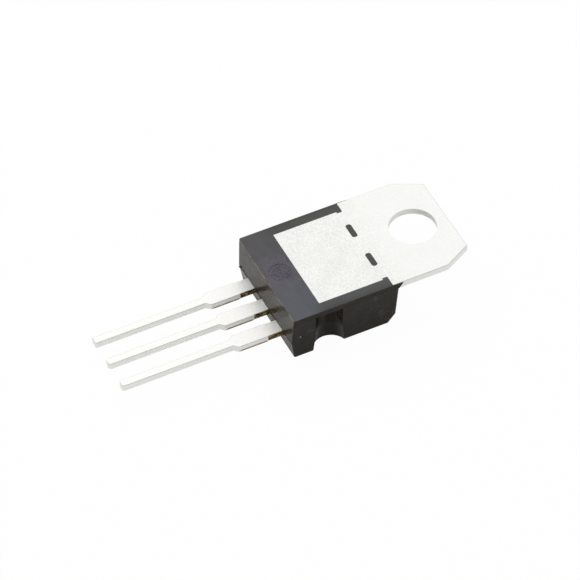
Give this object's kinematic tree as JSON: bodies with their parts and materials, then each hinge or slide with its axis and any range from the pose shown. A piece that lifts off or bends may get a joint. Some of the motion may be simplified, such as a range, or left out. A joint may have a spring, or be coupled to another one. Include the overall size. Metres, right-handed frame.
{
  "type": "voltage regulator",
  "caption": "Through-hole linear voltage regulator: flat plated metal tab with a screw hole, black moulded body and a row of straight leads.",
  "frame": {"origin": "axis of the tab's hole, on the bare metal back face", "axes": "+Y along the part towards the far end of the tab, +Z out of the metal back face, leads along -Y"},
  "size_m": [0.01, 0.0293, 0.0044],
  "materials": {
    "tinned_copper": "matt tin plating on copper strip, bare copper at the trimmed sides of the leads' roots",
    "black_epoxy": "fine matt moulded epoxy, slightly glossier on the drafted ends",
    "silicon": "polished silicon",
    "solder": "dull solder",
    "bond_wire": "bright drawn wire"
  },
  "bodies": {
    "root": {"heat_sink_tab": "tinned_copper", "input_lead": "tinned_copper", "output_lead": "tinned_copper", "moulded_body": "black_epoxy", "regulator_die": "silicon", "die_attach_solder": "solder", "input_bond_wire": "bond_wire", "output_bond_wire": "bond_wire", "sense_bond_wire": "bond_wire", "ground_bond_wire": "bond_wire"}
  },
  "joints": []
}
